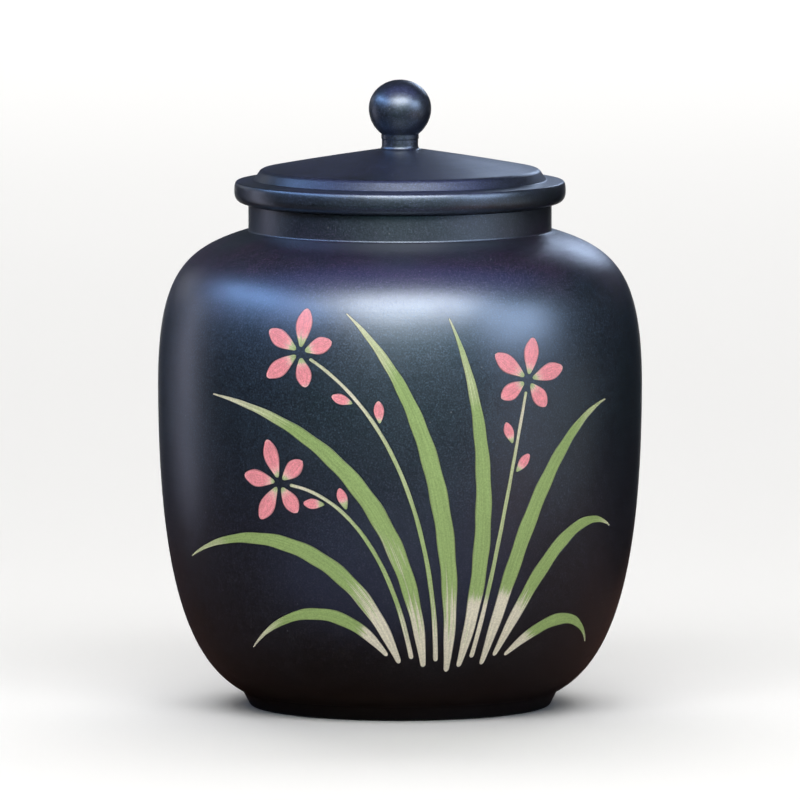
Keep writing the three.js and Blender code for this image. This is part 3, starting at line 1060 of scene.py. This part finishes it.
# %% Floor and world
STUDIO_SIZE = 30
STUDIO_CELLS = 8
STUDIO_TONES = ((0.90, 0.90, 0.90, 1), (0.93, 0.93, 0.93, 1))
DRIFT_SCALE = 0.8
DULL = 0.9
WORLD_TONE = (0.93, 0.96, 1.0, 1)
WORLD_STRENGTH = 0.06


def make_floor():
    floor = add_grid("studio_floor", STUDIO_CELLS, STUDIO_CELLS, STUDIO_SIZE)
    material, tree, shader, place = start_material("pale_floor", 0.0)
    inputs = {"Vector": place, "Scale": DRIFT_SCALE, "Detail": 2.0}
    drift = add(tree, "ShaderNodeTexNoise", inputs).outputs["Fac"]
    tree.links.new(blend(tree, drift, *STUDIO_TONES), shader.inputs["Base Color"])
    shader.inputs["Roughness"].default_value = DULL
    floor.data.materials.append(material)


make_floor()
world = bpy.data.worlds.new("studio")
bpy.context.scene.world = world
world.use_nodes = True
background = world.node_tree.nodes["Background"]
background.inputs["Color"].default_value = WORLD_TONE
background.inputs["Strength"].default_value = WORLD_STRENGTH
print("floor of", STUDIO_SIZE, "m, world strength", WORLD_STRENGTH)

# %% A soft box
AIM = Vector((0, 0, 0.14))


def heading(azimuth, elevation):
    """The way from the jar at an azimuth, 0 in front and 90 at the right, and an elevation."""
    turn, lift = math.radians(azimuth), math.radians(elevation)
    ahead = math.cos(lift)
    return Vector((math.sin(turn) * ahead, -math.cos(turn) * ahead, math.sin(lift)))


def soft_box(name, azimuth, elevation, distance, size, radiance, colour, seen_by):
    """An area lamp of a given size, as wide and tall, and radiance, aimed at the jar."""
    way = heading(azimuth, elevation)
    bpy.ops.object.light_add(type="AREA", location=AIM + distance * way)
    lamp = bpy.context.object
    lamp.name = name
    lamp.rotation_mode = "QUATERNION"
    lamp.rotation_quaternion = way.to_track_quat("Z", "Y")
    lamp.data.shape = "RECTANGLE"
    lamp.data.size, lamp.data.size_y = size
    lamp.data.energy = math.pi * size[0] * size[1] * radiance
    lamp.data.color = colour
    lamp.visible_camera = False
    lamp.visible_diffuse = seen_by == "clay"
    lamp.visible_glossy = seen_by == "gloss"
    print(name, "power", round(lamp.data.energy, 1), "W")


# %% Set the soft boxes
WHITE = (1.0, 0.99, 0.975)
PALE_SKY = (0.93, 0.94, 1.0)
SKY = (0.60, 0.74, 1.0)
DEEP_SKY = (0.33, 0.55, 1.0)
TEAL = (0.40, 0.90, 1.0)
DEEP_BLUE = (0.24, 0.26, 1.0)
LILAC = (0.82, 0.80, 1.0)
# name, azimuth, elevation, distance, size, radiance, colour, what sees it
SOFT_BOXES = [
    ("front_box", 0, 45, 1.6, (2.0, 0.7), 5.0, WHITE, "clay"),
    ("top_box", 180, 72, 2.4, (3.0, 2.4), 0.9, WHITE, "clay"),
    ("floor_box", 180, 36, 5.0, (6.0, 5.0), 2.3, WHITE, "clay"),
    ("shoulder_gloss", 3, 42, 1.6, (1.5, 0.64), 17.2, PALE_SKY, "gloss"),
    ("shoulder_low_gloss", -3, 26, 1.6, (0.5, 0.3), 5.5, PALE_SKY, "gloss"),
    ("shoulder_left_gloss", -42, 39, 1.6, (0.4, 0.4), 6.0, PALE_SKY, "gloss"),
    ("shoulder_right_gloss", 42, 38, 1.6, (0.5, 0.4), 8.0, SKY, "gloss"),
    ("sky_gloss", 0, 82, 2.0, (4.0, 1.6), 1.0, DEEP_BLUE, "gloss"),
    ("left_gloss", -76, 34, 1.6, (2.0, 0.32), 12.8, DEEP_SKY, "gloss"),
    ("right_gloss", 60, 21, 1.6, (0.9, 0.6), 9.8, SKY, "gloss"),
    ("belly_gloss", 8, 17, 1.6, (1.5, 0.5), 1.2, TEAL, "gloss"),
    ("right_card", 161, 21, 1.6, (0.40, 0.28), 7.6, SKY, "gloss"),
    ("dome_card", 167, 35, 0.376, (0.05, 0.12), 2.3, SKY, "gloss"),
    ("left_card", -110, 2, 0.4, (0.085, 0.26), 1.85, LILAC, "gloss"),
    ("left_back_card", -139, 15, 1.6, (0.5, 0.32), 0.95, PALE_SKY, "gloss"),
]
for box in SOFT_BOXES:
    soft_box(*box)

# %% [markdown]
# ## Flags and cloths
# The pale floor would shine in the jar's sides and make them grey, so it is kept out of the gloss
# by dark flags that stand round the jar and a brown mat that lies under it. In front, a teal flag
# and a blue cloth are seen in the belly, a warm cloth lies to the right, and a black one behind
# it. A darker floor would do part of this, but the picture needs a pale one. The flags and cloths
# are flat grids that only reflections see, so they cast no shadow and light no clay.

# %% A dull cloth
WEAVE_SCALE = 900.0
WEAVE_DEPTH = (0.6, 1.4)
CLOTH_SPAN = (-0.3, 0.3)


def make_cloth(name, left, right):
    """A dull cloth that goes from one colour at the left of the jar to another at its right."""
    material, tree, shader, place = start_material(name, 0.0)
    inputs = {"Vector": place, "Scale": WEAVE_SCALE, "Detail": 1.0}
    weave = add(tree, "ShaderNodeTexNoise", inputs).outputs["Fac"]
    side = add(tree, "ShaderNodeSeparateXYZ", {"Vector": place}).outputs["X"]
    colour = blend(tree, between(tree, side, CLOTH_SPAN), (*left, 1), (*right, 1))
    woven = between(tree, weave, (0.2, 0.8), WEAVE_DEPTH)
    colour = blend(tree, 1.0, colour, woven, "MULTIPLY")
    tree.links.new(colour, shader.inputs["Base Color"])
    shader.inputs["Roughness"].default_value = DULL
    return material


flag_cloth = make_cloth("flag_cloth", (0.011, 0.008, 0.007), (0.011, 0.008, 0.007))
mat_cloth = make_cloth("mat_cloth", (0.06, 0.03, 0.022), (0.13, 0.066, 0.05))
teal_cloth = make_cloth("teal_cloth", (0.06, 0.15, 0.15), (0.07, 0.14, 0.14))
blue_cloth = make_cloth("blue_cloth", (0.22, 0.23, 0.42), (0.26, 0.24, 0.42))
warm_cloth = make_cloth("warm_cloth", (0.50, 0.24, 0.22), (0.50, 0.24, 0.22))
cloths = (flag_cloth, mat_cloth, teal_cloth, blue_cloth, warm_cloth)
print("cloths:", [cloth.name for cloth in cloths])

# %% Stand the flags and lay the cloths
FLAG_CELLS = 2
CLOTH_CELLS = 4
MAT_HEIGHT = 0.0004
CLOTH_HEIGHT = 0.0008


def gloss_only(piece, cloth):
    """Marks a piece of the stage as one that only reflections see, and covers it."""
    for ray in ("camera", "diffuse", "transmission", "volume_scatter", "shadow"):
        setattr(piece, f"visible_{ray}", False)
    piece.data.materials.append(cloth)


def stand_flag(name, cloth, azimuth, distance, wide, tall):
    """A dull card that stands on the floor and faces the jar."""
    way = heading(azimuth, 0)
    side = Vector((way.y, -way.x, 0))
    flag = add_grid(name, FLAG_CELLS, FLAG_CELLS)
    for vertex in flag.data.vertices:
        rise = Vector((0, 0, tall * (vertex.co.y + 0.5)))
        vertex.co = distance * way + wide * vertex.co.x * side + rise
    gloss_only(flag, cloth)


def lay_cloth(name, cloth, height, across, ahead, wide, deep):
    """A cloth that lies flat near the floor, with its middle across and ahead of the jar."""
    laid = add_grid(name, CLOTH_CELLS, CLOTH_CELLS)
    for vertex in laid.data.vertices:
        vertex.co = (across + wide * vertex.co.x, deep * vertex.co.y - ahead, height)
    gloss_only(laid, cloth)


stand_flag("flag_front", teal_cloth, -2, 0.45, 0.84, 0.19)
stand_flag("flag_right", flag_cloth, 125, 0.44, 0.55, 0.22)
stand_flag("flag_left", flag_cloth, -125, 0.46, 0.55, 0.22)
stand_flag("flag_front_left", flag_cloth, -70, 0.47, 0.42, 0.2)
lay_cloth("flag_mat", mat_cloth, MAT_HEIGHT, 0, 0, 1.4, 1.4)
lay_cloth("front_cloth", blue_cloth, CLOTH_HEIGHT, -0.01, 0.275, 0.44, 0.29)
lay_cloth("side_cloth", warm_cloth, CLOTH_HEIGHT, 0.46, 0.45, 0.44, 0.46)
lay_cloth("back_cloth", flag_cloth, CLOTH_HEIGHT, 0.35, -0.27, 0.3, 0.34)
print("flags and cloths set")

# %% [markdown]
# ## Camera
# The photograph looks at the jar from a little above its widest ring, from far away, so its
# ellipses are flat and its sides hardly converge. A short lens close by would bend them, so a
# long lens at six metres gives the view.

# %% Camera
VIEW_DISTANCE = 6.0
VIEW_PITCH = math.radians(5.6)
VIEW_TARGET = Vector((0, 0, 0.1262))
VIEW_END = 100
SENSOR = 36.0
LENS = 653.4

way_back = Vector((0, -math.cos(VIEW_PITCH), math.sin(VIEW_PITCH)))
bpy.ops.object.camera_add(location=VIEW_TARGET + VIEW_DISTANCE * way_back)
camera = bpy.context.object
camera.rotation_mode = "QUATERNION"
camera.rotation_quaternion = way_back.to_track_quat("Z", "Y")
camera.data.sensor_width = SENSOR
camera.data.lens = LENS
camera.data.clip_end = VIEW_END
bpy.context.scene.camera = camera
bpy.context.scene.view_settings.view_transform = "Standard"
print("camera at", [round(x, 3) for x in camera.location], "lens", LENS)
